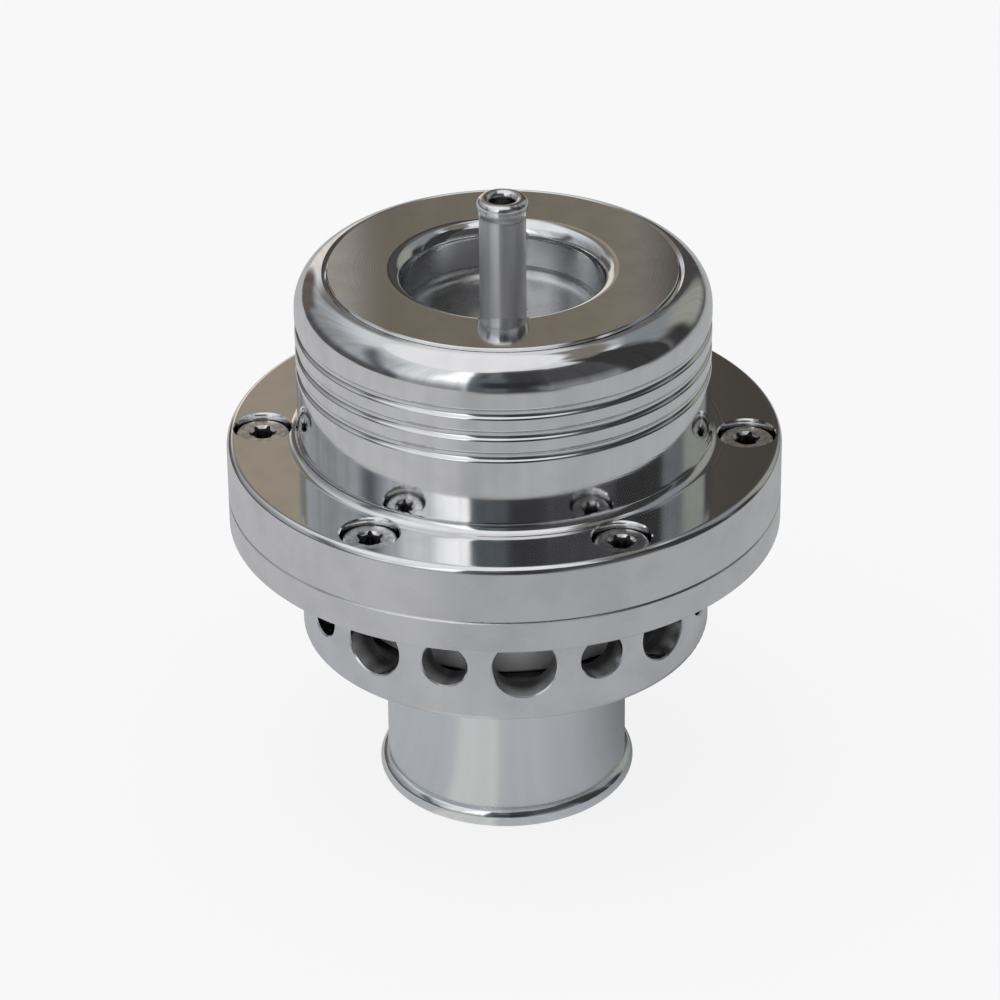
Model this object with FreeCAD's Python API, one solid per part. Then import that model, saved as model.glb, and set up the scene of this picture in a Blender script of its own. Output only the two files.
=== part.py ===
import FreeCAD, Part
import math
import os

# Blow off valve of the vent-to-air piston type, in millimetres.
# The valve stands on the end of its inlet pipe at z = 0, and its axis is +Z.
# Large vent holes lie on the X and Y axes, with a small one between each two.

# Cylinder that the piston runs in. The valve's widths grow outwards from it.
CYLINDER_DIAMETER = 44.1
LINER_WALL = 2.4
LINER_REACH = 7.75
LINER_FIT = 0.05

# Inlet pipe with its hose bead
PIPE_DIAMETER = 34.0
PIPE_WALL = 2.0
PIPE_LENGTH = 24.7
BEAD_RADIUS = 1.6
BEAD_RISE = 1.15
PIPE_MOUTH_CHAMFER = 0.4

# Cup below the flanges
CUP_WALL = 4.1
CUP_HEIGHT = 17.0
CUP_FLOOR = 3.5
CUP_FOOT_ROUND = 0.9
VENT_PAIRS = 8
LARGE_VENT_DIAMETER = 8.8
SMALL_VENT_DIAMETER = 6.4
VENT_SILL = 0.4
SEAT_CHAMFER = 0.5

# Flanges
FLANGE_RIM = 4.9
LOWER_FLANGE_THICKNESS = 4.55
UPPER_FLANGE_THICKNESS = 8.25
PARTING_CHAMFER = 0.2
FLANGE_TOP_ROUND = 1.05
EDGE_BREAK = 0.2

# Flange screws
SCREW_COUNT = 6
SCREW_FROM_BARREL = 5.0
SCREW_CLOCKING = -7.65
SCREW_DIAMETER = 4.0
SCREW_LENGTH = 8.0
SCREW_HOLE_CLEARANCE = 0.2
THREAD_CLEARANCE = 0.02
HEAD_DIAMETER = 7.4
HEAD_HEIGHT = 3.9
HEAD_ROUND = 0.5
HEAD_SINK = 0.8
COUNTERBORE_CLEARANCE = 0.3
SOCKET_TIP_DIAMETER = 3.9
SOCKET_WAIST_DIAMETER = 2.8
SOCKET_DEPTH = 2.0
SOCKET_LOBES = 6
SOCKET_TIP_SPREAD = 11.0
SOCKET_CHAMFER = 0.3

# How far each screw's socket is turned once it is tight, in degrees
SOCKET_TURNS = (14.0, 47.0, 22.0, 8.0, 33.0, 0.0)

# Barrel with its grooves and round nose
BARREL_WALL = 4.6
BARREL_HEIGHT = 19.85
BARREL_FOOT_FILLET = 1.5
GROOVE_COUNT = 3
GROOVE_PITCH = 3.2
GROOVE_WIDTH = 1.9
GROOVE_DEPTH = 0.5
GROOVE_LIP_ROUND = 0.45
GROOVE_FROM_NOSE = 2.1
NOSE_RADIUS = 5.3

# Ring in the top of the barrel
RING_LEDGE = 1.05
RING_HOLE_DIAMETER = 27.2
RING_HEIGHT = 6.5
RING_PROUD = 0.05
RING_LIP_ROUND = 2.3
RING_EDGE_CHAMFER = 0.12
RING_FIT = 0.05
RING_RELIEF_WIDTH = 0.7
RING_RELIEF_DEPTH = 0.5
RING_THREAD_RUNOUT = 0.8

# Plug below the ring
PLUG_LEDGE = 0.9
PLUG_FLANGE_THICKNESS = 5.5
PLUG_SPIGOT_LENGTH = 5.0
PLUG_FIT = 0.05
PLUG_DISH_DEPTH = 1.5
SPRING_POCKET_DEPTH = 4.0
SPRING_POCKET_CLEARANCE = 0.5

# Vacuum hose nipple in the plug
NIPPLE_DIAMETER = 6.4
NIPPLE_BORE = 3.4
NIPPLE_HEIGHT = 18.5
NIPPLE_BEAD_DIAMETER = 7.0
NIPPLE_BEAD_HEIGHT = 2.5
NIPPLE_FOOT_GROOVE_WIDTH = 0.3
NIPPLE_FOOT_GROOVE_DEPTH = 0.12

# Piston
PISTON_CLEARANCE = 0.1
PISTON_HEIGHT = 21.7
PISTON_CROWN = 3.0
PISTON_SKIRT_WALL = 3.0
PISTON_EDGE_CHAMFER = 0.5
PISTON_FLOOR_GAP = 0.1
SPRING_RIM_HEIGHT = 2.0
SPRING_RIM_WALL = 2.7
PISTON_RING_CLEARANCE = 0.05
GUIDE_BAND_WIDTH = 3.0
GUIDE_BAND_THICKNESS = 1.2
PISTON_RING_SPACING = 1.5

# Rubber rings, drawn as squeezed in their grooves
SEAL_DEPTH = 1.4
SEAL_WIDTH = 2.0
SEAL_SIDE_GAP = 0.1
SEAL_CORNER = 0.4
FLANGE_SEAL_MARGIN = 1.3
SEAT_SEAL_MARGIN = 1.2

# Spring and its shim
SPRING_WIRE = 2.2
SPRING_MEAN_DIAMETER = 28.0
SPRING_TURNS = 7.0
SHIM_THICKNESS = 0.6
SHIM_OVERLAP = 0.35

# How far a cutter runs past the face that it opens, and how near counts as touching
CUT_THROUGH = 1.0
SAME_PLACE = 0.001

# Heights and radii that follow from the sizes above
pipe_r = PIPE_DIAMETER / 2
inlet_r = pipe_r - PIPE_WALL
cylinder_r = CYLINDER_DIAMETER / 2
liner_r = cylinder_r + LINER_WALL
chamber_r = liner_r + LINER_FIT
cup_r = chamber_r + CUP_WALL
plug_spigot_r = cylinder_r - PLUG_FIT
plug_flange_r = cylinder_r + PLUG_LEDGE
ring_r = plug_flange_r + RING_LEDGE
ring_hole_r = RING_HOLE_DIAMETER / 2
barrel_r = ring_r + BARREL_WALL
screw_circle_r = barrel_r + SCREW_FROM_BARREL
flange_r = screw_circle_r + FLANGE_RIM
nipple_r = NIPPLE_DIAMETER / 2
spring_r = SPRING_MEAN_DIAMETER / 2
wire_r = SPRING_WIRE / 2
piston_r = cylinder_r - PISTON_CLEARANCE
piston_ring_r = piston_r + PISTON_RING_CLEARANCE

cup_z = PIPE_LENGTH
floor_z = cup_z + CUP_FLOOR
vent_z = floor_z + VENT_SILL + LARGE_VENT_DIAMETER / 2
flange_z = cup_z + CUP_HEIGHT
parting_z = flange_z + LOWER_FLANGE_THICKNESS
flange_top_z = parting_z + UPPER_FLANGE_THICKNESS
nose_z = flange_top_z + BARREL_HEIGHT
ring_top_z = nose_z + NOSE_RADIUS + RING_PROUD
plug_top_z = ring_top_z - RING_HEIGHT
plug_step_z = plug_top_z - PLUG_FLANGE_THICKNESS
plug_bottom_z = plug_step_z - PLUG_SPIGOT_LENGTH
plug_seal_z = plug_bottom_z + (PLUG_SPIGOT_LENGTH - SEAL_WIDTH) / 2
dish_z = plug_top_z - PLUG_DISH_DEPTH
spring_top_z = plug_bottom_z + SPRING_POCKET_DEPTH
nipple_top_z = dish_z + NIPPLE_HEIGHT
liner_z = parting_z - LINER_REACH
piston_z = floor_z + PISTON_FLOOR_GAP
crown_z = piston_z + PISTON_CROWN
piston_top_z = piston_z + PISTON_HEIGHT
shim_top_z = crown_z + SHIM_THICKNESS
spring_rim_r = spring_r - wire_r - SPRING_POCKET_CLEARANCE


def on_circle(centre, radius, degrees):
    angle = math.radians(degrees)
    return (centre[0] + radius * math.cos(angle), centre[1] + radius * math.sin(angle))


def arc(centre, radius, start, end):
    """One step of an outline: an arc about centre (r, z), between two angles in degrees."""
    return on_circle(centre, radius, (start + end) / 2) + on_circle(centre, radius, end)


def turned(*steps):
    """Turn a closed outline about Z. A step is a point (r, z), or an arc step; the first is a point."""
    first = FreeCAD.Vector(steps[0][0], 0, steps[0][1])
    here = first
    edges = []
    for step in steps[1:]:
        there = FreeCAD.Vector(step[-2], 0, step[-1])
        if len(step) == 2:
            edges.append(Part.makeLine(here, there))
        else:
            middle = FreeCAD.Vector(step[0], 0, step[1])
            edges.append(Part.Arc(here, middle, there).toShape())
        here = there
    edges.append(Part.makeLine(here, first))
    face = Part.Face(Part.Wire(edges))
    return face.revolve(FreeCAD.Vector(0, 0, 0), FreeCAD.Vector(0, 0, 1), 360)


def seal_ring(inner, outer, bottom, top):
    """A rubber ring squeezed into a groove: a rectangle with its corners cut back."""
    return turned(
        (inner + SEAL_CORNER, bottom),
        (outer - SEAL_CORNER, bottom),
        (outer, bottom + SEAL_CORNER),
        (outer, top - SEAL_CORNER),
        (outer - SEAL_CORNER, top),
        (inner + SEAL_CORNER, top),
        (inner, top - SEAL_CORNER),
        (inner, bottom + SEAL_CORNER),
    )


def groove_in_wall(radius, depth, bottom, top):
    """Outline points of a square groove cut into an outer wall, from below upwards."""
    return [(radius, bottom), (radius - depth, bottom), (radius - depth, top), (radius, top)]


def seal_groove(radius, depth, seal_bottom):
    """A groove in an outer wall for a rubber ring, with a gap on both sides of the ring."""
    seal_top = seal_bottom + SEAL_WIDTH
    return groove_in_wall(radius, depth, seal_bottom - SEAL_SIDE_GAP, seal_top + SEAL_SIDE_GAP)


def round_about(shape, count, first_angle):
    """Copies of a shape, evenly spaced about the Z axis."""
    copies = []
    for index in range(count):
        copy = shape.copy()
        angle = first_angle + index * 360.0 / count
        copy.rotate(FreeCAD.Vector(0, 0, 0), FreeCAD.Vector(0, 0, 1), angle)
        copies.append(copy)
    return copies


def upright_hole(radius, bottom, top):
    """A round cutter on the screw circle, at angle 0."""
    return Part.makeCylinder(radius, top - bottom, FreeCAD.Vector(screw_circle_r, 0, bottom))


# Lower housing: pipe, cup and lower flange, turned in one piece
def flange_seal_radii():
    inner = liner_r + LINER_FIT + FLANGE_SEAL_MARGIN
    return inner, inner + SEAL_WIDTH


def lower_housing():
    bead_centre = (pipe_r + BEAD_RISE - BEAD_RADIUS, BEAD_RADIUS)
    bead_end = math.degrees(math.acos((pipe_r - bead_centre[0]) / BEAD_RADIUS))
    foot_centre = (cup_r - CUP_FOOT_ROUND, cup_z + CUP_FOOT_ROUND)
    seal_inner, seal_outer = flange_seal_radii()
    groove_inner = seal_inner - SEAL_SIDE_GAP
    groove_outer = seal_outer + SEAL_SIDE_GAP
    body = turned(
        (inlet_r + PIPE_MOUTH_CHAMFER, 0),
        (bead_centre[0], 0),
        arc(bead_centre, BEAD_RADIUS, -90, bead_end),
        (pipe_r, cup_z),
        (cup_r - CUP_FOOT_ROUND, cup_z),
        arc(foot_centre, CUP_FOOT_ROUND, -90, 0),
        (cup_r, flange_z),
        (flange_r - EDGE_BREAK, flange_z),
        (flange_r, flange_z + EDGE_BREAK),
        (flange_r, parting_z - PARTING_CHAMFER),
        (flange_r - PARTING_CHAMFER, parting_z),
        (groove_outer, parting_z),
        (groove_outer, parting_z - SEAL_DEPTH),
        (groove_inner, parting_z - SEAL_DEPTH),
        (groove_inner, parting_z),
        (chamber_r, parting_z),
        (chamber_r, floor_z),
        (inlet_r + SEAT_CHAMFER, floor_z),
        (inlet_r, floor_z - SEAT_CHAMFER),
        (inlet_r, PIPE_MOUTH_CHAMFER),
    )
    half_step = 180.0 / VENT_PAIRS
    vents = round_about(vent_cutter(LARGE_VENT_DIAMETER), VENT_PAIRS, 0)
    vents += round_about(vent_cutter(SMALL_VENT_DIAMETER), VENT_PAIRS, half_step)
    body = body.cut(vents)
    body = body.makeChamfer(EDGE_BREAK, [edge for edge in body.Edges if is_vent_rim(edge)])
    tapped_r = SCREW_DIAMETER / 2 + THREAD_CLEARANCE
    tapped = upright_hole(tapped_r, flange_z - CUT_THROUGH, parting_z + CUT_THROUGH)
    return body.cut(round_about(tapped, SCREW_COUNT, SCREW_CLOCKING))


def vent_cutter(diameter):
    """A radial drill that goes through the cup's wall, at angle 0."""
    inner_edge = math.sqrt(chamber_r ** 2 - (diameter / 2) ** 2)
    start = inner_edge - CUT_THROUGH
    length = cup_r + CUT_THROUGH - start
    place = FreeCAD.Vector(start, 0, vent_z)
    return Part.makeCylinder(diameter / 2, length, place, FreeCAD.Vector(1, 0, 0))


def is_vent_rim(edge):
    """True for an edge that a vent makes in the cup's outer wall."""
    samples = edge.discretize(5)
    on_wall = all(abs(math.hypot(point.x, point.y) - cup_r) < SAME_PLACE for point in samples)
    level = max(point.z for point in samples) - min(point.z for point in samples) < SAME_PLACE
    return on_wall and not level and edge.BoundBox.ZMax < flange_z - SAME_PLACE


# Upper housing: flange, barrel and cylinder liner, turned in one piece
def upper_housing():
    round_centre = (flange_r - FLANGE_TOP_ROUND, flange_top_z - FLANGE_TOP_ROUND)
    fillet_centre = (barrel_r + BARREL_FOOT_FILLET, flange_top_z + BARREL_FOOT_FILLET)
    steps = [
        (cylinder_r, liner_z),
        (liner_r, liner_z),
        (liner_r, parting_z),
        (flange_r - PARTING_CHAMFER, parting_z),
        (flange_r, parting_z + PARTING_CHAMFER),
        (flange_r, round_centre[1]),
        arc(round_centre, FLANGE_TOP_ROUND, 0, 90),
        (fillet_centre[0], flange_top_z),
        arc(fillet_centre, BARREL_FOOT_FILLET, 270, 180),
    ]
    for index in reversed(range(GROOVE_COUNT)):
        steps += barrel_groove(nose_z - GROOVE_FROM_NOSE - index * GROOVE_PITCH)
    relief_r = ring_r + RING_RELIEF_WIDTH
    nose_centre = (barrel_r - NOSE_RADIUS, nose_z)
    nose_end = math.degrees(math.acos((relief_r - nose_centre[0]) / NOSE_RADIUS))
    steps += [
        (barrel_r, nose_z),
        arc(nose_centre, NOSE_RADIUS, 0, nose_end),
        (ring_r + RING_FIT, ring_top_z - RING_RELIEF_DEPTH),
        (ring_r + RING_FIT, plug_top_z - RING_THREAD_RUNOUT),
        (plug_flange_r + PLUG_FIT, plug_top_z - RING_THREAD_RUNOUT),
        (plug_flange_r + PLUG_FIT, plug_step_z),
        (cylinder_r, plug_step_z),
    ]
    head_floor = flange_top_z - HEAD_SINK - HEAD_HEIGHT
    clearance_r = SCREW_DIAMETER / 2 + SCREW_HOLE_CLEARANCE
    clearance_hole = upright_hole(clearance_r, parting_z - CUT_THROUGH, flange_top_z)
    counterbore_r = HEAD_DIAMETER / 2 + COUNTERBORE_CLEARANCE
    counterbore = upright_hole(counterbore_r, head_floor, nose_z)
    rim = FreeCAD.Vector(screw_circle_r, 0, flange_top_z - EDGE_BREAK)
    countersink = Part.makeCone(counterbore_r, counterbore_r + EDGE_BREAK, EDGE_BREAK, rim)
    holes = []
    for cutter in (clearance_hole, counterbore, countersink):
        holes += round_about(cutter, SCREW_COUNT, SCREW_CLOCKING)
    return turned(*steps).cut(holes)


def barrel_groove(middle_z):
    """A round-bottomed groove in the barrel, whose lips are rounded into the wall."""
    slope = 2 * math.degrees(math.atan(2 * GROOVE_DEPTH / GROOVE_WIDTH))
    reach = GROOVE_WIDTH / 2 / math.sin(math.radians(slope))
    bottom_round = reach - GROOVE_LIP_ROUND
    low_lip = (barrel_r - GROOVE_LIP_ROUND, middle_z - GROOVE_WIDTH / 2)
    high_lip = (barrel_r - GROOVE_LIP_ROUND, middle_z + GROOVE_WIDTH / 2)
    bottom = (barrel_r - GROOVE_DEPTH + bottom_round, middle_z)
    return [
        (barrel_r, middle_z - GROOVE_WIDTH / 2),
        arc(low_lip, GROOVE_LIP_ROUND, 0, slope),
        arc(bottom, bottom_round, 180 + slope, 180 - slope),
        arc(high_lip, GROOVE_LIP_ROUND, -slope, 0),
    ]


# Ring screwed into the top of the barrel
def top_ring():
    lip = (ring_hole_r + RING_LIP_ROUND, ring_top_z - RING_LIP_ROUND)
    return turned(
        (ring_hole_r, plug_top_z + RING_EDGE_CHAMFER),
        (ring_hole_r + RING_EDGE_CHAMFER, plug_top_z),
        (ring_r - RING_EDGE_CHAMFER, plug_top_z),
        (ring_r, plug_top_z + RING_EDGE_CHAMFER),
        (ring_r, ring_top_z - RING_EDGE_CHAMFER),
        (ring_r - RING_EDGE_CHAMFER, ring_top_z),
        (lip[0], ring_top_z),
        arc(lip, RING_LIP_ROUND, 90, 180),
    )


# Plug that closes the cylinder, held down by the ring
def top_plug():
    pocket_r = spring_r + wire_r + SPRING_POCKET_CLEARANCE
    steps = [(nipple_r, spring_top_z), (pocket_r, spring_top_z), (pocket_r, plug_bottom_z)]
    steps += [(plug_spigot_r, plug_bottom_z)]
    steps += seal_groove(plug_spigot_r, SEAL_DEPTH, plug_seal_z)
    steps += [
        (plug_spigot_r, plug_step_z),
        (plug_flange_r, plug_step_z),
        (plug_flange_r, plug_top_z),
        (ring_hole_r, plug_top_z),
        arc((ring_hole_r - PLUG_DISH_DEPTH, plug_top_z), PLUG_DISH_DEPTH, 0, -90),
        (nipple_r, dish_z),
    ]
    return turned(*steps)


def plug_o_ring():
    return seal_ring(plug_spigot_r - SEAL_DEPTH, cylinder_r, plug_seal_z, plug_seal_z + SEAL_WIDTH)


# Hose nipple pressed into the plug
def vacuum_nipple():
    bore_r = NIPPLE_BORE / 2
    bead_r = NIPPLE_BEAD_DIAMETER / 2
    crown_round = (bead_r - bore_r) / 2
    bead_z = nipple_top_z - crown_round
    foot_z = nipple_top_z - NIPPLE_BEAD_HEIGHT
    drop = bead_z - foot_z
    rise = bead_r - nipple_r
    taper_round = (drop ** 2 + rise ** 2) / (2 * rise)
    taper_end = -math.degrees(math.asin(drop / taper_round))
    steps = [(bore_r, spring_top_z), (nipple_r, spring_top_z)]
    groove_z = foot_z - NIPPLE_FOOT_GROOVE_WIDTH
    steps += groove_in_wall(nipple_r, NIPPLE_FOOT_GROOVE_DEPTH, groove_z, foot_z)
    steps += [
        arc((bead_r - taper_round, bead_z), taper_round, taper_end, 0),
        arc((bore_r + crown_round, bead_z), crown_round, 0, 180),
    ]
    return turned(*steps)


# Piston and what rides on it
def seat_seal_radii():
    inner = inlet_r + SEAT_CHAMFER + SEAT_SEAL_MARGIN
    return inner, inner + SEAL_WIDTH


def piston_groove_heights():
    """Bottom heights of the lower seal's, the guide band's and the upper seal's grooves."""
    lower = liner_z + PISTON_RING_SPACING
    band = lower + SEAL_WIDTH + PISTON_RING_SPACING
    upper = band + GUIDE_BAND_WIDTH + PISTON_RING_SPACING
    return lower, band, upper


def piston():
    seal_inner, seal_outer = seat_seal_radii()
    lower, band, upper = piston_groove_heights()
    skirt_r = piston_r - PISTON_SKIRT_WALL
    seal_groove_depth = SEAL_DEPTH - PISTON_RING_CLEARANCE
    band_groove_depth = GUIDE_BAND_THICKNESS - PISTON_RING_CLEARANCE
    steps = [
        (0, piston_z),
        (seal_inner - SEAL_SIDE_GAP, piston_z),
        (seal_inner - SEAL_SIDE_GAP, floor_z + SEAL_DEPTH),
        (seal_outer + SEAL_SIDE_GAP, floor_z + SEAL_DEPTH),
        (seal_outer + SEAL_SIDE_GAP, piston_z),
        (piston_r - PISTON_EDGE_CHAMFER, piston_z),
        (piston_r, piston_z + PISTON_EDGE_CHAMFER),
    ]
    steps += seal_groove(piston_r, seal_groove_depth, lower)
    steps += groove_in_wall(piston_r, band_groove_depth, band, band + GUIDE_BAND_WIDTH)
    steps += seal_groove(piston_r, seal_groove_depth, upper)
    steps += [
        (piston_r, piston_top_z - PISTON_EDGE_CHAMFER),
        (piston_r - PISTON_EDGE_CHAMFER, piston_top_z),
        (skirt_r, piston_top_z),
        (skirt_r, crown_z),
        (spring_rim_r, crown_z),
        (spring_rim_r, crown_z + SPRING_RIM_HEIGHT),
        (spring_rim_r - SPRING_RIM_WALL, crown_z + SPRING_RIM_HEIGHT),
        (spring_rim_r - SPRING_RIM_WALL, crown_z),
        (0, crown_z),
    ]
    return turned(*steps)


def piston_seal(bottom):
    return seal_ring(piston_ring_r - SEAL_DEPTH, piston_ring_r, bottom, bottom + SEAL_WIDTH)


def piston_guide_band(bottom):
    inner = piston_ring_r - GUIDE_BAND_THICKNESS
    top = bottom + GUIDE_BAND_WIDTH
    return turned((inner, bottom), (piston_ring_r, bottom), (piston_ring_r, top), (inner, top))


def seat_ring():
    inner, outer = seat_seal_radii()
    return seal_ring(inner, outer, floor_z, floor_z + SEAL_DEPTH)


def flange_o_ring():
    inner, outer = flange_seal_radii()
    return seal_ring(inner, outer, parting_z - SEAL_DEPTH, parting_z)


# Spring, standing on its shim in the piston
def preload_shim():
    inner = spring_rim_r + SHIM_OVERLAP
    outer = spring_r + wire_r + SHIM_OVERLAP
    return turned((inner, crown_z), (outer, crown_z), (outer, shim_top_z), (inner, shim_top_z))


def valve_spring():
    """A round-wire coil whose end turns are ground flat, top and bottom."""
    length = spring_top_z - shim_top_z
    coil = Part.makeHelix(length / SPRING_TURNS, length, spring_r)
    coil.translate(FreeCAD.Vector(0, 0, shim_top_z))
    start = FreeCAD.Vector(spring_r, 0, shim_top_z)
    section = Part.Wire(Part.makeCircle(wire_r, start, FreeCAD.Vector(0, 1, 0)))
    wire = Part.Wire(coil.Edges).makePipeShell([section], True, True)
    block = Part.makeCylinder(2 * spring_r, length, FreeCAD.Vector(0, 0, shim_top_z))
    return wire.common(block)


# Flange screws
def socket_outline():
    """A lobed socket: round tips joined by hollow flanks, all arcs."""
    tip_r = SOCKET_TIP_DIAMETER / 2
    waist_r = SOCKET_WAIST_DIAMETER / 2
    joint_r = (tip_r + waist_r) / 2
    pitch = 360.0 / SOCKET_LOBES
    lobe = (
        (joint_r, -SOCKET_TIP_SPREAD),
        (tip_r, 0),
        (joint_r, SOCKET_TIP_SPREAD),
        (waist_r, pitch / 2),
        (joint_r, pitch - SOCKET_TIP_SPREAD),
    )
    edges = []
    for index in range(SOCKET_LOBES):
        points = []
        for radius, turn in lobe:
            x, y = on_circle((0, 0), radius, index * pitch + turn)
            points.append(FreeCAD.Vector(x, y, 0))
        edges.append(Part.Arc(*points[0:3]).toShape())
        edges.append(Part.Arc(*points[2:5]).toShape())
    return Part.Wire(edges)


def flange_screw(socket_turn):
    """One socket screw, on the screw circle at angle 0, with its socket turned as given."""
    head_r = HEAD_DIAMETER / 2
    head_top = flange_top_z - HEAD_SINK
    head_floor = head_top - HEAD_HEIGHT
    screw = turned(
        (0, head_floor - SCREW_LENGTH),
        (SCREW_DIAMETER / 2, head_floor - SCREW_LENGTH),
        (SCREW_DIAMETER / 2, head_floor),
        (head_r, head_floor),
        (head_r, head_top - HEAD_ROUND),
        arc((head_r - HEAD_ROUND, head_top - HEAD_ROUND), HEAD_ROUND, 0, 90),
        (0, head_top),
    )
    socket = Part.Face(socket_outline()).extrude(FreeCAD.Vector(0, 0, SOCKET_DEPTH))
    socket.translate(FreeCAD.Vector(0, 0, head_top - SOCKET_DEPTH))
    mouth_z = FreeCAD.Vector(0, 0, head_top - SOCKET_CHAMFER)
    tip_r = SOCKET_TIP_DIAMETER / 2
    mouth = Part.makeCone(tip_r - SOCKET_CHAMFER, tip_r, SOCKET_CHAMFER, mouth_z)
    screw = screw.cut([socket, mouth])
    screw.rotate(FreeCAD.Vector(0, 0, 0), FreeCAD.Vector(0, 0, 1), socket_turn)
    screw.translate(FreeCAD.Vector(screw_circle_r, 0, 0))
    return screw


lower_groove_z, band_groove_z, upper_groove_z = piston_groove_heights()

pieces = {
    "lower_housing": lower_housing(),
    "upper_housing": upper_housing(),
    "top_ring": top_ring(),
    "top_plug": top_plug(),
    "vacuum_nipple": vacuum_nipple(),
    "plug_o_ring": plug_o_ring(),
    "flange_o_ring": flange_o_ring(),
    "piston": piston(),
    "piston_seal_lower": piston_seal(lower_groove_z),
    "piston_guide_band": piston_guide_band(band_groove_z),
    "piston_seal_upper": piston_seal(upper_groove_z),
    "seat_ring": seat_ring(),
    "preload_shim": preload_shim(),
    "valve_spring": valve_spring(),
}
for index, socket_turn in enumerate(SOCKET_TURNS):
    places = round_about(flange_screw(socket_turn), SCREW_COUNT, SCREW_CLOCKING)
    pieces["flange_screw_%d" % (index + 1)] = places[index]

os.makedirs("parts", exist_ok=True)
for name, shape in pieces.items():
    shape.exportStep("parts/%s.step" % name)
    print(name, "solids", len(shape.Solids), "valid", shape.isValid(), "volume", round(shape.Volume, 1))
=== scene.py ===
import bpy
import math
from mathutils import Matrix, Vector


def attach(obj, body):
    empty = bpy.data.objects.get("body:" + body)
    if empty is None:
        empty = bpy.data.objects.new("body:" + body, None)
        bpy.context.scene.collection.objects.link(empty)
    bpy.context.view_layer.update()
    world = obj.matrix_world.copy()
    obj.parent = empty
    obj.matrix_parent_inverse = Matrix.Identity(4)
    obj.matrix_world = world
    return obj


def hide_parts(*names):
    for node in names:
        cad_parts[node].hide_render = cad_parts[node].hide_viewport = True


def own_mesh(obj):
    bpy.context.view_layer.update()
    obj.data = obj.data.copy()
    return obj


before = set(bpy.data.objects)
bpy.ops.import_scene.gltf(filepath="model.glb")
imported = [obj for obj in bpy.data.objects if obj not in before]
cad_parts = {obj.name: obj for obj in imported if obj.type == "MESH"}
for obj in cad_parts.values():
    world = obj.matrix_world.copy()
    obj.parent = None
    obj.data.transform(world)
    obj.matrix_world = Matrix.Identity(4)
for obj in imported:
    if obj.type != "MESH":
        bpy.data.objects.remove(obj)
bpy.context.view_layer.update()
scene = bpy.context.scene
scene.view_settings.view_transform = "Standard"

# Sizes of the valve in millimetres, from its axis and from the floor that it stands on
MM = 0.001
PIPE_RADIUS = 17.0
PIPE_LENGTH = 24.7
CUP_RADIUS = 28.6
CUP_FLOOR = 28.2
CHAMBER_RADIUS = 24.5
LINER_RADIUS = 24.45
LINER_BOTTOM = 38.5
CYLINDER_RADIUS = 22.05
PARTING = 46.25
PARTING_CHAMFER = 0.2
RIM_RADIUS = 38.5
RIM_TOP = 54.5
RIM_ROUND = 1.05
BARREL_RADIUS = 28.6
BARREL_FILLET = 1.5
GROOVE_WIDTH = 1.9
GROOVE_DEPTH = 0.5
GROOVE_LIP = 0.45
GROOVE_HEIGHTS = (65.85, 69.05, 72.25)
NOSE_HEIGHT = 74.35
NOSE_ROUND = 5.3
RELIEF_RADIUS = 24.7
RELIEF_BOTTOM = 79.2
RING_SEAT_RADIUS = 24.05
RING_SEAT_BOTTOM = 72.4
RING_LIP_FOOT = 77.4
PLUG_SEAT_RADIUS = 23.0
PLUG_SEAT_BOTTOM = 67.7
NIPPLE_BORE_RADIUS = 1.7
NIPPLE_BEAD_FOOT = 87.7

# Screws and their holes, in millimetres
SCREW_COUNT = 6
SCREW_SPACING = 2 * math.pi / SCREW_COUNT
SCREW_CLOCKING = math.radians(-7.65)
SCREW_CIRCLE = 33.6
SCREW_HEAD_TOP = 53.7
SCREW_HEAD_FOOT = 49.8
THREAD_PITCH = 0.7
THREAD_DEPTH = 0.3
HEAD_HOLE_RADIUS = 4.0
SHANK_HOLE_RADIUS = 2.2
HOLE_EDGE_BREAK = 0.2

# Valve spring, in millimetres
SPRING_FOOT = 31.9
SPRING_TOP = 66.7
SPRING_TURNS = 7
SPRING_RADIUS = 14.0
WIRE_RADIUS = 1.1

# Camera
FOCAL_LENGTH = 164.13
SENSOR_WIDTH = 36
CAMERA_DISTANCE = 0.63776
CAMERA_ELEVATION = math.radians(29.484)
CAMERA_AZIMUTH = math.radians(264.85)
CAMERA_ROLL = math.radians(-0.4837)
CAMERA_SHIFT = -0.004785
LOOK_AT = Vector((0, 0, 0.04332))


def add_camera():
    flat = math.cos(CAMERA_ELEVATION)
    east = flat * math.cos(CAMERA_AZIMUTH)
    north = flat * math.sin(CAMERA_AZIMUTH)
    back = Vector((east, north, math.sin(CAMERA_ELEVATION)))
    bpy.ops.object.camera_add(location=LOOK_AT + back * CAMERA_DISTANCE)
    camera = bpy.context.object
    aim = (-back).to_track_quat("-Z", "Y").to_matrix()
    camera.rotation_euler = (aim @ Matrix.Rotation(CAMERA_ROLL, 3, "Z")).to_euler()
    camera.data.lens = FOCAL_LENGTH
    camera.data.sensor_width = SENSOR_WIDTH
    camera.data.shift_x = CAMERA_SHIFT
    scene.camera = camera


# Small helpers for node trees
def is_output(value):
    return isinstance(value, bpy.types.NodeSocket)


def feed(tree, socket, value):
    """Link a node's output to a socket, or give the socket a fixed value."""
    if is_output(value):
        tree.links.new(value, socket)
    else:
        socket.default_value = value


def node(tree, kind, inputs=None, **settings):
    made = tree.nodes.new("ShaderNode" + kind)
    for name, value in settings.items():
        setattr(made, name, value)
    for name, value in (inputs or {}).items():
        feed(tree, made.inputs[name], value)
    return made


def calc(tree, operation, *values):
    return node(tree, "Math", dict(enumerate(values)), operation=operation).outputs[0]


def all_of(tree, first, *others):
    """The product of masks, which is 1 only where each of them is 1."""
    for other in others:
        first = calc(tree, "MULTIPLY", first, other)
    return first


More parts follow.
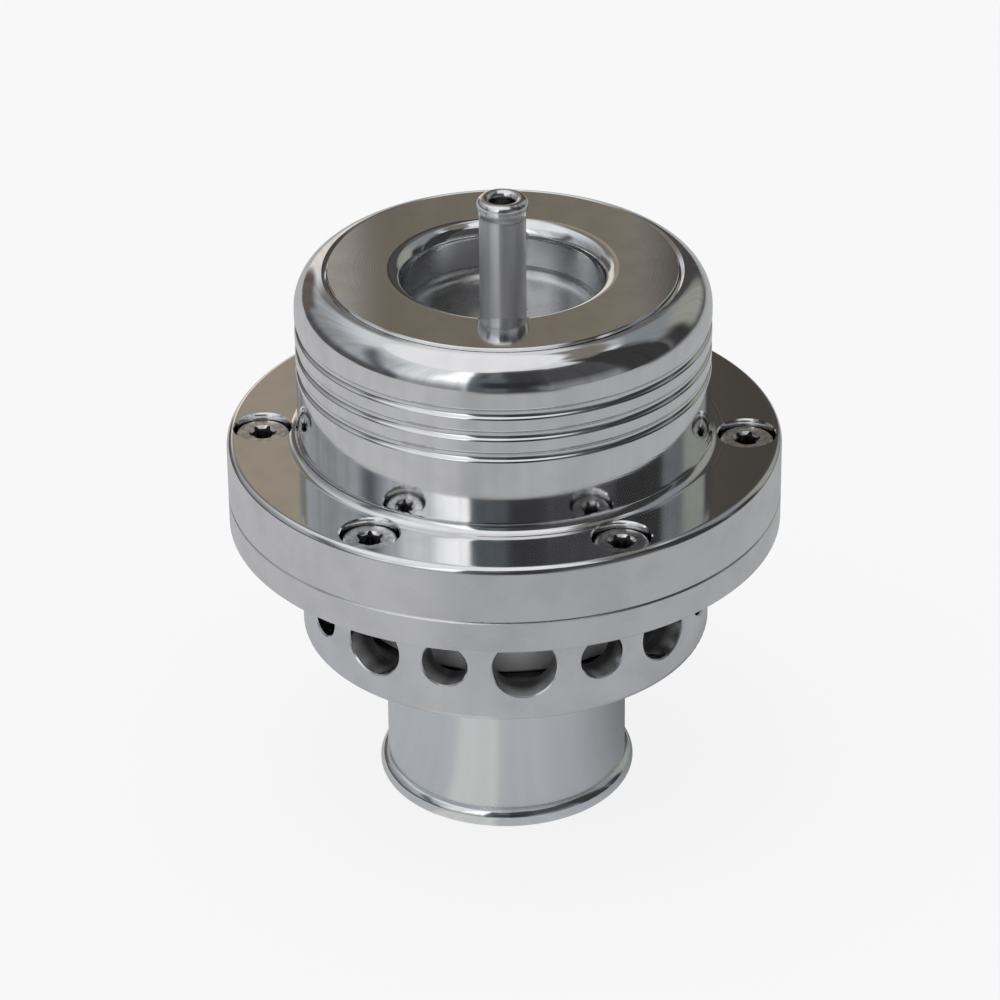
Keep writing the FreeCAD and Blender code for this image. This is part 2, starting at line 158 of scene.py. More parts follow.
def step_up(tree, value, start, full):
    """A smooth mask that is 0 at start and 1 at full, on whichever side of it start lies."""
    inputs = {"Value": value, "From Min": start, "From Max": full}
    return node(tree, "MapRange", inputs, interpolation_type="SMOOTHSTEP").outputs[0]


def between(tree, value, rise, risen, fall, fallen):
    """A smooth mask that goes from 0 at rise to 1 at risen, and from 1 at fall to 0 at fallen."""
    return all_of(tree, step_up(tree, value, rise, risen), step_up(tree, value, fallen, fall))


def spread(tree, value, low, high):
    """Stretch a 0 to 1 value over low to high."""
    return node(tree, "MapRange", {"Value": value, "To Min": low, "To Max": high}).outputs[0]


def noise(tree, vector, scale, detail=2.0, roughness=0.5):
    inputs = {"Vector": vector, "Scale": scale, "Detail": detail, "Roughness": roughness}
    return node(tree, "TexNoise", inputs).outputs[0]


def blend(tree, factor, first, second):
    return node(tree, "Mix", {"Factor": factor, 2: first, 3: second}).outputs[0]


def paint(colour):
    """A colour as a socket takes it: a node's output as it is, three numbers made opaque."""
    return colour if is_output(colour) else (*colour, 1)


def blend_colours(tree, factor, first, second):
    inputs = {"Factor": factor, 6: paint(first), 7: paint(second)}
    return node(tree, "Mix", inputs, data_type="RGBA").outputs[2]


def scaled(tree, colour, amount):
    return node(tree, "VectorMath", {0: colour, "Scale": amount}, operation="SCALE").outputs[0]


def vector_length(tree, vector):
    return node(tree, "VectorMath", {0: vector}, operation="LENGTH").outputs["Value"]


def direction(tree, vector):
    return node(tree, "VectorMath", {0: vector}, operation="NORMALIZE").outputs[0]


def split(tree, vector):
    parts = node(tree, "SeparateXYZ", {"Vector": vector}).outputs
    return parts["X"], parts["Y"], parts["Z"]


def pair(tree, x, y):
    """A vector of two values, with no third."""
    return node(tree, "CombineXYZ", {"X": x, "Y": y}).outputs[0]


def bearing(tree, x, y):
    return calc(tree, "DEGREES", calc(tree, "ARCTAN2", y, x))


# Colours of the metals, rubber and guide band, and painted shade for the chamber, vents, nipple
# bore and screw sockets
ALUMINIUM = (0.80, 0.80, 0.81)
ALUMINIUM_WORN = (0.75, 0.75, 0.76)
PIPE_ALUMINIUM = (0.83, 0.86, 0.88)
PLUG_ALUMINIUM = (0.62, 0.62, 0.62)
PLUG_WORN = (0.55, 0.55, 0.55)
CHAMBER_PAINTED_SHADE = (0.20, 0.20, 0.20)
NIPPLE_BORE_PAINTED_SHADE = (0.50, 0.50, 0.50)
VENT_PAINTED_SHADE = (0.10, 0.10, 0.10)
VENT_EDGE = (0.88, 0.88, 0.89)
PISTON_ALUMINIUM = (0.94, 0.94, 0.94)
SCREW_STEEL = (0.90, 0.895, 0.89)
SCREW_GRIMY = (0.60, 0.595, 0.585)
SCREW_SOCKET_SHADE = (0.12, 0.12, 0.12)
SPRING_STEEL = (0.42, 0.43, 0.45)
SHIM_STEEL = (0.48, 0.48, 0.47)
RUBBER = (0.022, 0.022, 0.023)
RUBBER_BLOOM = (0.0484, 0.0484, 0.0506)
GUIDE_BROWN = (0.16, 0.10, 0.06)
GUIDE_BRONZE = (0.34, 0.21, 0.10)

# Where each finish or painted shade starts and where it is full: distances from the axis or
# heights, in millimetres
FLANGE_SIDE = (RIM_RADIUS - 0.6, RIM_RADIUS - 0.1)
FLANGE_BELOW_TOP = (RIM_TOP - 0.4 * RIM_ROUND, RIM_TOP - RIM_ROUND)
PIPE_BELOW = (PIPE_LENGTH + 0.2, PIPE_LENGTH - 0.2)
PIPE_BEAD_BEYOND = (PIPE_RADIUS + 0.02, PIPE_RADIUS + 0.2)
PIPE_BEAD_BELOW = (4.0, 3.4)
CHAMBER_WITHIN = (CHAMBER_RADIUS + 0.2, CHAMBER_RADIUS)
CHAMBER_ABOVE = (CUP_FLOOR - 1.0, CUP_FLOOR - 0.4)
VENT_WITHIN = (CUP_RADIUS - 0.1, CUP_RADIUS - 0.4)
VENT_ABOVE = (CUP_FLOOR, CUP_FLOOR + 0.3)
VENT_SHADE_FADES = (CUP_RADIUS - 3.0, CUP_RADIUS)
RING_HOLE_BELOW = (RING_LIP_FOOT + 0.2, RING_LIP_FOOT - 0.3)
NIPPLE_BORE_WITHIN = (NIPPLE_BORE_RADIUS + 0.15, NIPPLE_BORE_RADIUS)
NIPPLE_BEAD_ABOVE = (NIPPLE_BEAD_FOOT - 0.2, NIPPLE_BEAD_FOOT + 0.2)
SOCKET_WITHIN = (2.2, 1.9)
SOCKET_BELOW = (SCREW_HEAD_TOP - 0.4, SCREW_HEAD_TOP - 1.6)
THREAD_BELOW = (SCREW_HEAD_FOOT, SCREW_HEAD_FOOT - 0.3)

# Noise values between which a metal goes from worn to bright, and bloom and bronze come to show
WORN_TO_BRIGHT = (0.7, 0.4)
GRIMY_TO_BRIGHT = (0.62, 0.42)
BLOOM_SHOWS = (0.45, 0.8)
FLECKS_SHOW = (0.55, 0.7)

# Wear on a screw's head, as a share of its thread's depth
HEAD_WEAR = 0.06

# Turn of a lathe's lay, as a share of a whole turn
LAY_TURN = 0.25

# Features in a metre, for the noise of rubber and guide band
RUBBER_GRAIN = 1500.0
RUBBER_PATCHES = 200.0
BRONZE_FLECKS = 2500.0


class Turned:
    """A material on a turned piece, with each point's height and distance from the axis."""

    def __init__(self, name, axis=(0, 0)):
        self.material = bpy.data.materials.new(name)
        self.material.use_nodes = True
        self.tree = self.material.node_tree
        self.shader = self.tree.nodes["Principled BSDF"]
        to_axis = (-axis[0] * MM, -axis[1] * MM, 0)
        coordinates = node(self.tree, "TexCoord").outputs["Object"]
        centred = node(self.tree, "Mapping", {"Vector": coordinates, "Location": to_axis})
        self.place = centred.outputs[0]
        x, y, self.height = split(self.tree, self.place)
        self.radius = vector_length(self.tree, pair(self.tree, x, y))

    def set(self, name, value):
        feed(self.tree, self.shader.inputs[name], value)

    def by_radius(self, limits):
        """A mask that grows from one distance from the axis to another, in millimetres."""
        start, full = limits
        return step_up(self.tree, self.radius, start * MM, full * MM)

    def by_height(self, limits):
        """A mask that grows from one height to another, in millimetres."""
        start, full = limits
        return step_up(self.tree, self.height, start * MM, full * MM)

    def bump(self, relief, depth):
        made = node(self.tree, "Bump", {"Height": relief, "Strength": 1.0, "Distance": depth * MM})
        self.set("Normal", made.outputs[0])

    def turning_marks(self, pitch, depth, lay=0.0):
        """Rings of uneven depth round the axis; lay blurs reflections across them."""
        profile = pair(self.tree, self.radius, self.height)
        self.bump(noise(self.tree, profile, 1 / (pitch * MM), roughness=0.6), depth)
        if lay > 0:
            self.set("Anisotropic", lay)
            self.set("Anisotropic Rotation", LAY_TURN)
            tangent = node(self.tree, "Tangent", direction_type="RADIAL", axis="Z")
            self.set("Tangent", tangent.outputs[0])


class Metal(Turned):
    """A turned metal with smears, which its tone and its roughness follow."""

    def __init__(self, name, smears, axis=(0, 0)):
        super().__init__(name, axis)
        self.smears = noise(self.tree, self.place, 1 / (smears * MM), detail=3.0)
        self.set("Metallic", 1.0)

    def tone(self, worn, bright, limits=WORN_TO_BRIGHT):
        return blend_colours(self.tree, step_up(self.tree, self.smears, *limits), worn, bright)

    def rough(self, smooth, dull):
        return spread(self.tree, self.smears, smooth, dull)


def housing_finish():
    """Mirror polish, with a satin side where the two flanges were turned together."""
    metal = Metal("polished_housing", smears=5.0)
    tree = metal.tree
    side = all_of(tree, metal.by_radius(FLANGE_SIDE), metal.by_height(FLANGE_BELOW_TOP))
    polish = metal.rough(smooth=0.05, dull=0.12)
    satin = metal.rough(smooth=0.22, dull=0.34)
    metal.set("Base Color", metal.tone(ALUMINIUM_WORN, ALUMINIUM))
    metal.set("Roughness", blend(tree, side, polish, satin))
    metal.turning_marks(pitch=0.30, depth=0.0036)
    return metal.material


def lower_housing_finish():
    """Satin cup, a paler and bluer pipe with a rolled bead, and smoother vents whose walls get
    painted shade that deepens inwards; painted shade also darkens the chamber inside.
    """
    metal = Metal("satin_housing", smears=6.0)
    tree = metal.tree
    cup = metal.tone(ALUMINIUM_WORN, ALUMINIUM)
    outside = blend_colours(tree, metal.by_height(PIPE_BELOW), cup, PIPE_ALUMINIUM)
    in_vent = all_of(tree, metal.by_radius(VENT_WITHIN), metal.by_height(VENT_ABOVE))
    # Painted shade on the vents' drilled walls: darkest deep in, fading to a pale grey at the outer
    # edge.
    vent_wall_shade = blend_colours(tree, metal.by_radius(VENT_SHADE_FADES), VENT_PAINTED_SHADE, VENT_EDGE)
    walls = blend_colours(tree, in_vent, outside, vent_wall_shade)
    # Painted shade: the inside of the chamber is darkened where shade falls.
    in_chamber = all_of(tree, metal.by_radius(CHAMBER_WITHIN), metal.by_height(CHAMBER_ABOVE))
    metal.set("Base Color", blend_colours(tree, in_chamber, walls, CHAMBER_PAINTED_SHADE))
    satin = metal.rough(smooth=0.20, dull=0.34)
    drilled = metal.rough(smooth=0.06, dull=0.14)
    rolled = metal.rough(smooth=0.07, dull=0.13)
    on_bead = all_of(tree, metal.by_radius(PIPE_BEAD_BEYOND), metal.by_height(PIPE_BEAD_BELOW))
    metal.set("Roughness", blend(tree, on_bead, blend(tree, in_vent, satin, drilled), rolled))
    metal.turning_marks(pitch=0.30, depth=0.0050, lay=0.5)
    return metal.material


def ring_finish():
    """Mirror polish with faint turning marks, and a satin wall in the ring's hole."""
    metal = Metal("polished_ring", smears=4.0)
    polish = metal.rough(smooth=0.03, dull=0.08)
    satin = metal.rough(smooth=0.20, dull=0.30)
    metal.set("Base Color", metal.tone(ALUMINIUM_WORN, ALUMINIUM))
    metal.set("Roughness", blend(metal.tree, metal.by_height(RING_HOLE_BELOW), polish, satin))
    metal.turning_marks(pitch=0.25, depth=0.0009, lay=0.4)
    return metal.material


def plug_finish():
    metal = Metal("turned_plug", smears=4.0)
    metal.set("Base Color", metal.tone(PLUG_WORN, PLUG_ALUMINIUM))
    metal.set("Roughness", metal.rough(smooth=0.22, dull=0.32))
    metal.turning_marks(pitch=0.35, depth=0.0090, lay=0.5)
    return metal.material


def nipple_finish():
    """Satin stem with a smoother bead, and painted shade darkening the bore."""
    metal = Metal("turned_nipple", smears=3.0)
    tree = metal.tree
    in_bore = metal.by_radius(NIPPLE_BORE_WITHIN)
    stem = metal.rough(smooth=0.38, dull=0.48)
    bead = metal.rough(smooth=0.14, dull=0.20)
    # Painted shade inside the bore.
    metal.set("Base Color", blend_colours(tree, in_bore, ALUMINIUM, NIPPLE_BORE_PAINTED_SHADE))
    metal.set("Roughness", blend(tree, metal.by_height(NIPPLE_BEAD_ABOVE), stem, bead))
    metal.turning_marks(pitch=0.22, depth=0.0040, lay=0.95)
    return metal.material


def piston_finish():
    """Turned and anodised, so that it shines less like a mirror than the bare metal."""
    metal = Metal("turned_piston", smears=4.0)
    metal.set("Base Color", paint(PISTON_ALUMINIUM))
    metal.set("Metallic", 0.35)
    metal.set("Roughness", metal.rough(smooth=0.30, dull=0.40))
    metal.turning_marks(pitch=0.32, depth=0.0060, lay=0.9)
    return metal.material


def screw_finish(index):
    """Plated screw with a worn head, painted shade deep in the socket and a thread below the head.
    """
    angle = SCREW_CLOCKING + index * SCREW_SPACING
    axis = (SCREW_CIRCLE * math.cos(angle), SCREW_CIRCLE * math.sin(angle))
    metal = Metal(f"screw_steel_{index + 1}", smears=1.0, axis=axis)
    tree = metal.tree
    in_socket = all_of(tree, metal.by_radius(SOCKET_WITHIN), metal.by_height(SOCKET_BELOW))
    head = metal.tone(SCREW_GRIMY, SCREW_STEEL, GRIMY_TO_BRIGHT)
    # Painted shade: the socket is darkened below the head's top.
    metal.set("Base Color", blend_colours(tree, in_socket, head, SCREW_SOCKET_SHADE))
    metal.set("Roughness", metal.rough(smooth=0.20, dull=0.40))
    half_pitch = THREAD_PITCH * MM / 2
    ridges = calc(tree, "DIVIDE", calc(tree, "PINGPONG", metal.height, half_pitch), half_pitch)
    thread = all_of(tree, ridges, metal.by_height(THREAD_BELOW))
    wear = calc(tree, "MULTIPLY", metal.smears, HEAD_WEAR)
    metal.bump(calc(tree, "ADD", thread, wear), THREAD_DEPTH)
    return metal.material


def spring_finish():
    """Bright drawn wire with shallow streaks."""
    metal = Metal("spring_wire", smears=1.4)
    metal.set("Base Color", paint(SPRING_STEEL))
    metal.set("Roughness", metal.rough(smooth=0.18, dull=0.34))
    metal.bump(metal.smears, depth=0.010)
    return metal.material


def shim_finish():
    metal = Metal("shim_steel", smears=2.0)
    metal.set("Base Color", paint(SHIM_STEEL))
    metal.set("Roughness", metal.rough(smooth=0.20, dull=0.35))
    metal.turning_marks(pitch=0.30, depth=0.006)
    return metal.material


def rubber_finish():
    """Black rubber with a fine grain and patches of grey bloom."""
    rubber = Turned("seal_rubber")
    tree = rubber.tree
    patches = noise(tree, rubber.place, RUBBER_PATCHES)
    bloom = step_up(tree, patches, *BLOOM_SHOWS)
    rubber.set("Base Color", blend_colours(tree, bloom, RUBBER, RUBBER_BLOOM))
    rubber.set("Roughness", spread(tree, patches, low=0.42, high=0.62))
    rubber.bump(noise(tree, rubber.place, RUBBER_GRAIN, detail=4.0), depth=0.03)
    return rubber.material


def guide_finish():
    """Brown plastic filled with flecks of bronze, which shine more."""
    guide = Turned("bronze_filled_guide")
    tree = guide.tree
    flecks = step_up(tree, noise(tree, guide.place, BRONZE_FLECKS), *FLECKS_SHOW)
    guide.set("Base Color", blend_colours(tree, flecks, GUIDE_BROWN, GUIDE_BRONZE))
    guide.set("Roughness", spread(tree, flecks, low=0.5, high=0.35))
    guide.turning_marks(pitch=0.30, depth=0.010)
    return guide.material


def give_finish(name, material):
    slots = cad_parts[name].data.materials
    if len(slots) == 0:
        slots.append(material)
    for place in range(len(slots)):
        slots[place] = material


def dress_nodes():
    give_finish("lower_housing", lower_housing_finish())
    give_finish("top_ring", ring_finish())
    give_finish("top_plug", plug_finish())
    give_finish("vacuum_nipple", nipple_finish())
    give_finish("piston", piston_finish())
    give_finish("preload_shim", shim_finish())
    give_finish("piston_guide_band", guide_finish())
    rubber = rubber_finish()
    for name in ("plug_o_ring", "flange_o_ring", "piston_seal_lower", "piston_seal_upper"):
        give_finish(name, rubber)
    give_finish("seat_ring", rubber)
    for index in range(SCREW_COUNT):
        give_finish(f"flange_screw_{index + 1}", screw_finish(index))


# How finely pieces are turned: steps round the axis, degrees along a round, and in millimetres
# how near to its ends a straight run is held flat, how far a cutter stands out, and what is merged
TURN_STEPS = 180
HOLE_STEPS = 64
ARC_STEP = 5.0
HOLD = 0.12
CUT_PAST = 1.0
MERGE_WITHIN = 0.001
WIRE_SIDES = 20
STEPS_A_TURN = 72
SMOOTH_BELOW = math.radians(28)


class Outline:
    """A half section, point by point: distance from the axis and height, in millimetres."""

    def __init__(self, radius, height):
        self.points = [Vector((radius, height))]

    def line(self, radius, height):
        """A straight run, with a point close to each end so that its shading stays flat."""
        here = self.points[-1]
        there = Vector((radius, height))
        run = there - here
        if run.length > 4 * HOLD:
            step = run.normalized() * HOLD
            self.points += [here + step, there - step]
        self.points.append(there)

    def arc(self, centre_radius, centre_height, radius, start, end):
        """A round from angle start to angle end, beginning where the outline has got to."""
        count = math.ceil(abs(end - start) / ARC_STEP)
        for index in range(1, count + 1):
            angle = math.radians(start + (end - start) * index / count)
            across = centre_radius + radius * math.cos(angle)
            self.points.append(Vector((across, centre_height + radius * math.sin(angle))))


def spin_outline(name, outline, steps):
    """Draw the half section vertex by vertex and spin it round the axis."""
    bpy.ops.object.select_all(action="DESELECT")
    bpy.ops.mesh.primitive_plane_add(size=MM)
    piece = bpy.context.object
    piece.name = name
    bpy.ops.object.mode_set(mode="EDIT")
    bpy.ops.mesh.merge(type="CENTER")
    here = outline.points[0]
    bpy.ops.transform.translate(value=(here.x * MM, 0, here.y * MM))
    for there in outline.points[1:] + outline.points[:1]:
        step = (there - here) * MM
        move = {"value": (step.x, 0, step.y)}
        bpy.ops.mesh.extrude_vertices_move(TRANSFORM_OT_translate=move)
        here = there
    bpy.ops.mesh.select_all(action="SELECT")
    bpy.ops.mesh.spin(steps=steps, angle=2 * math.pi, center=(0, 0, 0), axis=(0, 0, 1))
    bpy.ops.mesh.select_all(action="SELECT")
    bpy.ops.mesh.remove_doubles(threshold=MERGE_WITHIN * MM)
    bpy.ops.mesh.normals_make_consistent(inside=False)
    bpy.ops.object.mode_set(mode="OBJECT")
    return piece


def groove(outline, middle):
    """A round-bottomed groove whose lips are rounded into the barrel."""
    lower = middle - GROOVE_WIDTH / 2
    upper = middle + GROOVE_WIDTH / 2
    slope = 2 * math.degrees(math.atan(2 * GROOVE_DEPTH / GROOVE_WIDTH))
    bottom = GROOVE_WIDTH / 2 / math.sin(math.radians(slope)) - GROOVE_LIP
    outline.line(BARREL_RADIUS, lower)
    outline.arc(BARREL_RADIUS - GROOVE_LIP, lower, GROOVE_LIP, 0, slope)
    outline.arc(BARREL_RADIUS - GROOVE_DEPTH + bottom, middle, bottom, 180 + slope, 180 - slope)
    outline.arc(BARREL_RADIUS - GROOVE_LIP, upper, GROOVE_LIP, -slope, 0)


def upper_housing_outline():
    outline = Outline(CYLINDER_RADIUS, LINER_BOTTOM)
    outline.line(LINER_RADIUS, LINER_BOTTOM)
    outline.line(LINER_RADIUS, PARTING)
    outline.line(RIM_RADIUS - PARTING_CHAMFER, PARTING)
    outline.line(RIM_RADIUS, PARTING + PARTING_CHAMFER)
    outline.line(RIM_RADIUS, RIM_TOP - RIM_ROUND)
    outline.arc(RIM_RADIUS - RIM_ROUND, RIM_TOP - RIM_ROUND, RIM_ROUND, 0, 90)
    fillet_centre = BARREL_RADIUS + BARREL_FILLET
    outline.line(fillet_centre, RIM_TOP)
    outline.arc(fillet_centre, RIM_TOP + BARREL_FILLET, BARREL_FILLET, 270, 180)
    for middle in GROOVE_HEIGHTS:
        groove(outline, middle)
    outline.line(BARREL_RADIUS, NOSE_HEIGHT)
    nose_centre = BARREL_RADIUS - NOSE_ROUND
    nose_end = math.degrees(math.acos((RELIEF_RADIUS - nose_centre) / NOSE_ROUND))
    outline.arc(nose_centre, NOSE_HEIGHT, NOSE_ROUND, 0, nose_end)
    outline.line(RING_SEAT_RADIUS, RELIEF_BOTTOM)
    outline.line(RING_SEAT_RADIUS, RING_SEAT_BOTTOM)
    outline.line(PLUG_SEAT_RADIUS, RING_SEAT_BOTTOM)
    outline.line(PLUG_SEAT_RADIUS, PLUG_SEAT_BOTTOM)
    outline.line(CYLINDER_RADIUS, PLUG_SEAT_BOTTOM)
    return outline


def screw_hole_cutters():
    """The six screw holes with their counterbores, as one cutter."""
    edge = HEAD_HOLE_RADIUS + HOLE_EDGE_BREAK
    outline = Outline(0, PARTING - CUT_PAST)
    outline.line(SHANK_HOLE_RADIUS, PARTING - CUT_PAST)
    outline.line(SHANK_HOLE_RADIUS, SCREW_HEAD_FOOT)
    outline.line(HEAD_HOLE_RADIUS, SCREW_HEAD_FOOT)
    outline.line(HEAD_HOLE_RADIUS, RIM_TOP - HOLE_EDGE_BREAK)
    outline.line(edge, RIM_TOP)
    outline.line(edge, RIM_TOP + CUT_PAST)
    outline.line(0, RIM_TOP + CUT_PAST)
    cutter = spin_outline("screw_holes", outline, HOLE_STEPS)
    bpy.ops.object.mode_set(mode="EDIT")
    bpy.ops.mesh.select_all(action="SELECT")
    bpy.ops.transform.translate(value=(SCREW_CIRCLE * MM, 0, 0))
    middle = (0, 0, 0)
    for index in range(SCREW_COUNT - 1):
        bpy.ops.mesh.duplicate()
        bpy.ops.transform.rotate(value=SCREW_SPACING, orient_axis="Z", center_override=middle)
    bpy.ops.object.mode_set(mode="OBJECT")
    cutter.rotation_euler.z = SCREW_CLOCKING
    bpy.ops.object.transform_apply(rotation=True)
    return cutter


def cut_with(piece, cutter, operation="DIFFERENCE"):
    cut = piece.modifiers.new("cut", "BOOLEAN")
    cut.operation = operation
    cut.solver = "EXACT"
    cut.object = cutter
    bpy.ops.object.select_all(action="DESELECT")
    piece.select_set(True)
    bpy.context.view_layer.objects.active = piece
    bpy.ops.object.modifier_apply(modifier="cut")
    bpy.data.objects.remove(cutter)


def add_upper_housing():
    """Upper housing turned afresh, in rounds so fine that the polish mirrors cleanly."""
    piece = spin_outline("upper_housing_polished", upper_housing_outline(), TURN_STEPS)
    cut_with(piece, screw_hole_cutters())
    bpy.ops.object.shade_smooth_by_angle(angle=SMOOTH_BELOW)
    piece.data.materials.append(housing_finish())
    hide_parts("upper_housing")
    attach(piece, "housing")


def wind_wire():
    """A round wire wound on the spring's circle, its two ends closed."""
    bpy.ops.object.select_all(action="DESELECT")
    upright = (math.pi / 2, 0, 0)
    radius = WIRE_RADIUS * MM
    bpy.ops.mesh.primitive_circle_add(vertices=WIRE_SIDES, radius=radius, rotation=upright)
    wire = bpy.context.object
    bpy.ops.object.transform_apply(rotation=True)
    bpy.ops.object.mode_set(mode="EDIT")
    bpy.ops.mesh.select_all(action="SELECT")
    bpy.ops.transform.translate(value=(SPRING_RADIUS * MM, 0, SPRING_FOOT * MM))
    bpy.ops.object.mode_set(mode="OBJECT")
    winding = wire.modifiers.new("winding", "SCREW")
    winding.axis = "Z"
    winding.iterations = SPRING_TURNS
    winding.screw_offset = (SPRING_TOP - SPRING_FOOT) / SPRING_TURNS * MM
    winding.steps = STEPS_A_TURN
    winding.render_steps = STEPS_A_TURN
    bpy.ops.object.modifier_apply(modifier="winding")
    bpy.ops.object.mode_set(mode="EDIT")
    bpy.ops.mesh.select_all(action="SELECT")
    bpy.ops.mesh.fill_holes(sides=0)
    bpy.ops.mesh.normals_make_consistent(inside=False)
    bpy.ops.object.mode_set(mode="OBJECT")
    return wire


def add_spring():
    """Valve spring wound afresh, ground flat at both ends."""
    spring = wind_wire()
    spring.name = "valve_spring_wound"
    block = Outline(0, SPRING_FOOT)
    block.line(2 * SPRING_RADIUS, SPRING_FOOT)
    block.line(2 * SPRING_RADIUS, SPRING_TOP)
    block.line(0, SPRING_TOP)
    cut_with(spring, spin_outline("spring_ends", block, HOLE_STEPS), "INTERSECT")
    bpy.ops.object.shade_smooth_by_angle(angle=SMOOTH_BELOW)
    spring.data.materials.clear()
    spring.data.materials.append(spring_finish())
    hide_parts("valve_spring")
    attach(spring, "housing")
    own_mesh(spring)


# Studio: a pale floor, a soft box overhead, and a dim room for the metal to mirror.
# Lengths are in metres, and angles in degrees to the right of the camera's side.
ROOM_RADIUS = 2.0
ROOM_LEVEL = 0.05
ROOM_SEAM_OPPOSITE = 124.0
ROOM_COLOUR = (0.76, 0.78, 0.80)
ROOM_STREAKS_IN_ONE = 14.0
ROOM_STREAKS = (0.35, 1.65)
ROOM_STREAKS_BELOW = (58, 34)
SOFT_BOX_HEIGHT = 1.3
SOFT_BOX_DIAMETER = 1.4
SOFT_BOX_SHIFT = 0.35
SOFT_BOX_TURN = -60.0
SOFT_BOX_BRIGHTNESS = 1.25
SOFT_BOX_FACE = (0.92, 0.92, 0.93)
FLOOR_SIZE = 8.0
FLOOR_COLOUR = (0.8, 0.8, 0.8)
FLOOR_GLOW = (1.0, 1.0, 1.0)
FLOOR_GLOW_SHARE = 0.85
SKY_AS_LIGHT = 0.5
SKY_AS_SEEN = 1.0

# The floor as the metal mirrors it, painted with light and shadow: its colours, where each lies
# round the valve and how far out
FLOOR_IN_METAL = (0.42, 0.425, 0.43)
FLOOR_LIT_LEFT_IN_METAL = (0.53, 0.53, 0.545)
FLOOR_NEAR_IN_METAL = (0.47, 0.48, 0.50)
FLOOR_PAINTED_LIGHT_IN_METAL = (0.66, 0.65, 0.63)
FLOOR_PAINTED_SHADOW_IN_METAL = (0.17, 0.17, 0.17)
FLOOR_PAINTED_SHADE_IN_METAL = (0.05, 0.05, 0.05)
FLOOR_LEFT = (-165, -140, -30, -16)
FLOOR_STRIPE = (-42, -34, -10, -2)
FLOOR_SHADOW_TURNS = (20, 125)
FLOOR_FRONT = (-21, -8, 24, 38)
FLOOR_RIGHT = (70, 84, 140, 165)
FLOOR_NEAR = (0.110, 0.060)
FLOOR_NEAREST = (0.075, 0.045)
FLOOR_FRONT_FAR = (0.28, 1.1)
FLOOR_RIGHT_FAR = (0.30, 1.0)
FLOOR_STREAKS_IN_ONE = 9.0
FLOOR_STREAKS = (0.86, 1.14)

# Areas of the room as seen from the valve, each painted over those before it:
# left and right (the seam is at -56), low and high in degrees of elevation,
# brightness of red, green and blue, softness across and upwards, and lean to the right
ROOM_AREAS = {
    "left_wall": (206, 300, -10, 44, (0.40, 0.42, 0.44), 16, 26, 0),
    "left_curtain": (224, 262, 8, 30, (0.28, 0.28, 0.29), 26, 24, 0),
    "left_figure": (295, 307, 2, 46, (0.13, 0.13, 0.15), 12, 20, -0.72),
    "dark_horizon": (206, 306, -10, 12, (0.09, 0.09, 0.10), 14, 14, 0),
    "left_ground": (-60, -20, -10, 12, (0.30, 0.31, 0.31), 6, 18, 0),
    "left_window": (-46, -24, 22, 70, (1.35, 1.35, 1.35), 10, 14, 0.32),
    "right_half": (-19, 178, -10, 55, (0.14, 0.14, 0.145), 3, 4, 0),
    "camera_side": (-19, 22, -10, 42, (0.11, 0.125, 0.135), 3, 4, 0),
    "camera_side_top": (-31, 8, 38, 58, (0.075, 0.08, 0.09), 3, 4, 0.38),
    "camera_side_right": (2, 24, -10, 56, (0.055, 0.055, 0.06), 5, 4, 0),
    "camera_stand": (-9, -1, 36, 57, (0.15, 0.15, 0.16), 3, 8, 0),
    "camera_legs": (-12, 19, 10, 26, (0.035, 0.035, 0.04), 8, 8, 0),
    "front_wall": (22, 66, 18, 56, (0.075, 0.075, 0.08), 5, 7, 0),
    "front_ground": (20, 74, -10, 10, (0.24, 0.25, 0.25), 8, 16, -0.4),
    "doorway": (66, 101, -10, 66, (0.042, 0.042, 0.042), 7, 8, -0.1),
    "doorway_top": (72, 152, 60, 73, (0.21, 0.195, 0.17), 14, 4, 0),
    "right_wall": (86, 142, 30, 59, (0.25, 0.27, 0.285), 10, 12, 0.4),
    "right_low": (101, 120, -10, 24, (0.045, 0.045, 0.045), 6, 12, 0),
    "right_sheet": (118, 149, 2, 36, (0.33, 0.34, 0.30), 10, 12, 0),
    "right_slit": (97, 99.5, -8, 24, (0.15, 0.15, 0.15), 2, 8, 0),
    "back_right": (151, 176, -10, 60, (0.075, 0.07, 0.068), 4, 8, 0),
    "back_right_light": (145, 163, 40, 60, (0.15, 0.14, 0.135), 8, 8, 0),
    "back_dark": (172, 177.2, 12, 52, (0.075, 0.066, 0.058), 1.5, 8, 0),
    "back_brown": (177.2, 183, 12, 52, (0.215, 0.188, 0.15), 1.5, 8, 0),
    "back_pale_brown": (183, 196, 12, 52, (0.31, 0.265, 0.21), 1.5, 8, 0),
    "back_left_streaks": (194, 213, 26, 56, (0.20, 0.19, 0.175), 6, 10, 0),
    "back_left_light": (186, 203, -10, 19, (0.86, 0.79, 0.71), 5, 6, 0),
    "back_left_brown": (204, 228, -10, 20, (0.13, 0.11, 0.10), 5, 10, 0),
}


def area_mask(tree, turn, rise, left, right, low, high, soft_turn, soft_rise, lean):
    """1 inside the area and 0 outside, with soft edges."""
    leaning = calc(tree, "MULTIPLY_ADD", rise, -lean, turn)
    side = soft_turn / 2
    edge = soft_rise / 2
    across = between(tree, leaning, left - side, left + side, right - side, right + side)
    upwards = between(tree, rise, low - edge, low + edge, high - edge, high + edge)
    return all_of(tree, across, upwards)


def glow(piece, colour):
    """Give a piece of the studio a glow, and return its node tree and the glow's shader."""
    material = bpy.data.materials.new(piece.name)
    material.use_nodes = True
    material.cycles.emission_sampling = "NONE"
    tree = material.node_tree
    tree.nodes.clear()
    shader = node(tree, "Emission", {"Color": paint(colour), "Strength": 1.0})
    node(tree, "OutputMaterial", {"Surface": shader.outputs[0]})
    piece.data.materials.append(material)
    return tree, shader


def show_in_metal_only(piece):
    piece.visible_camera = False
    piece.visible_diffuse = False
    piece.visible_shadow = False


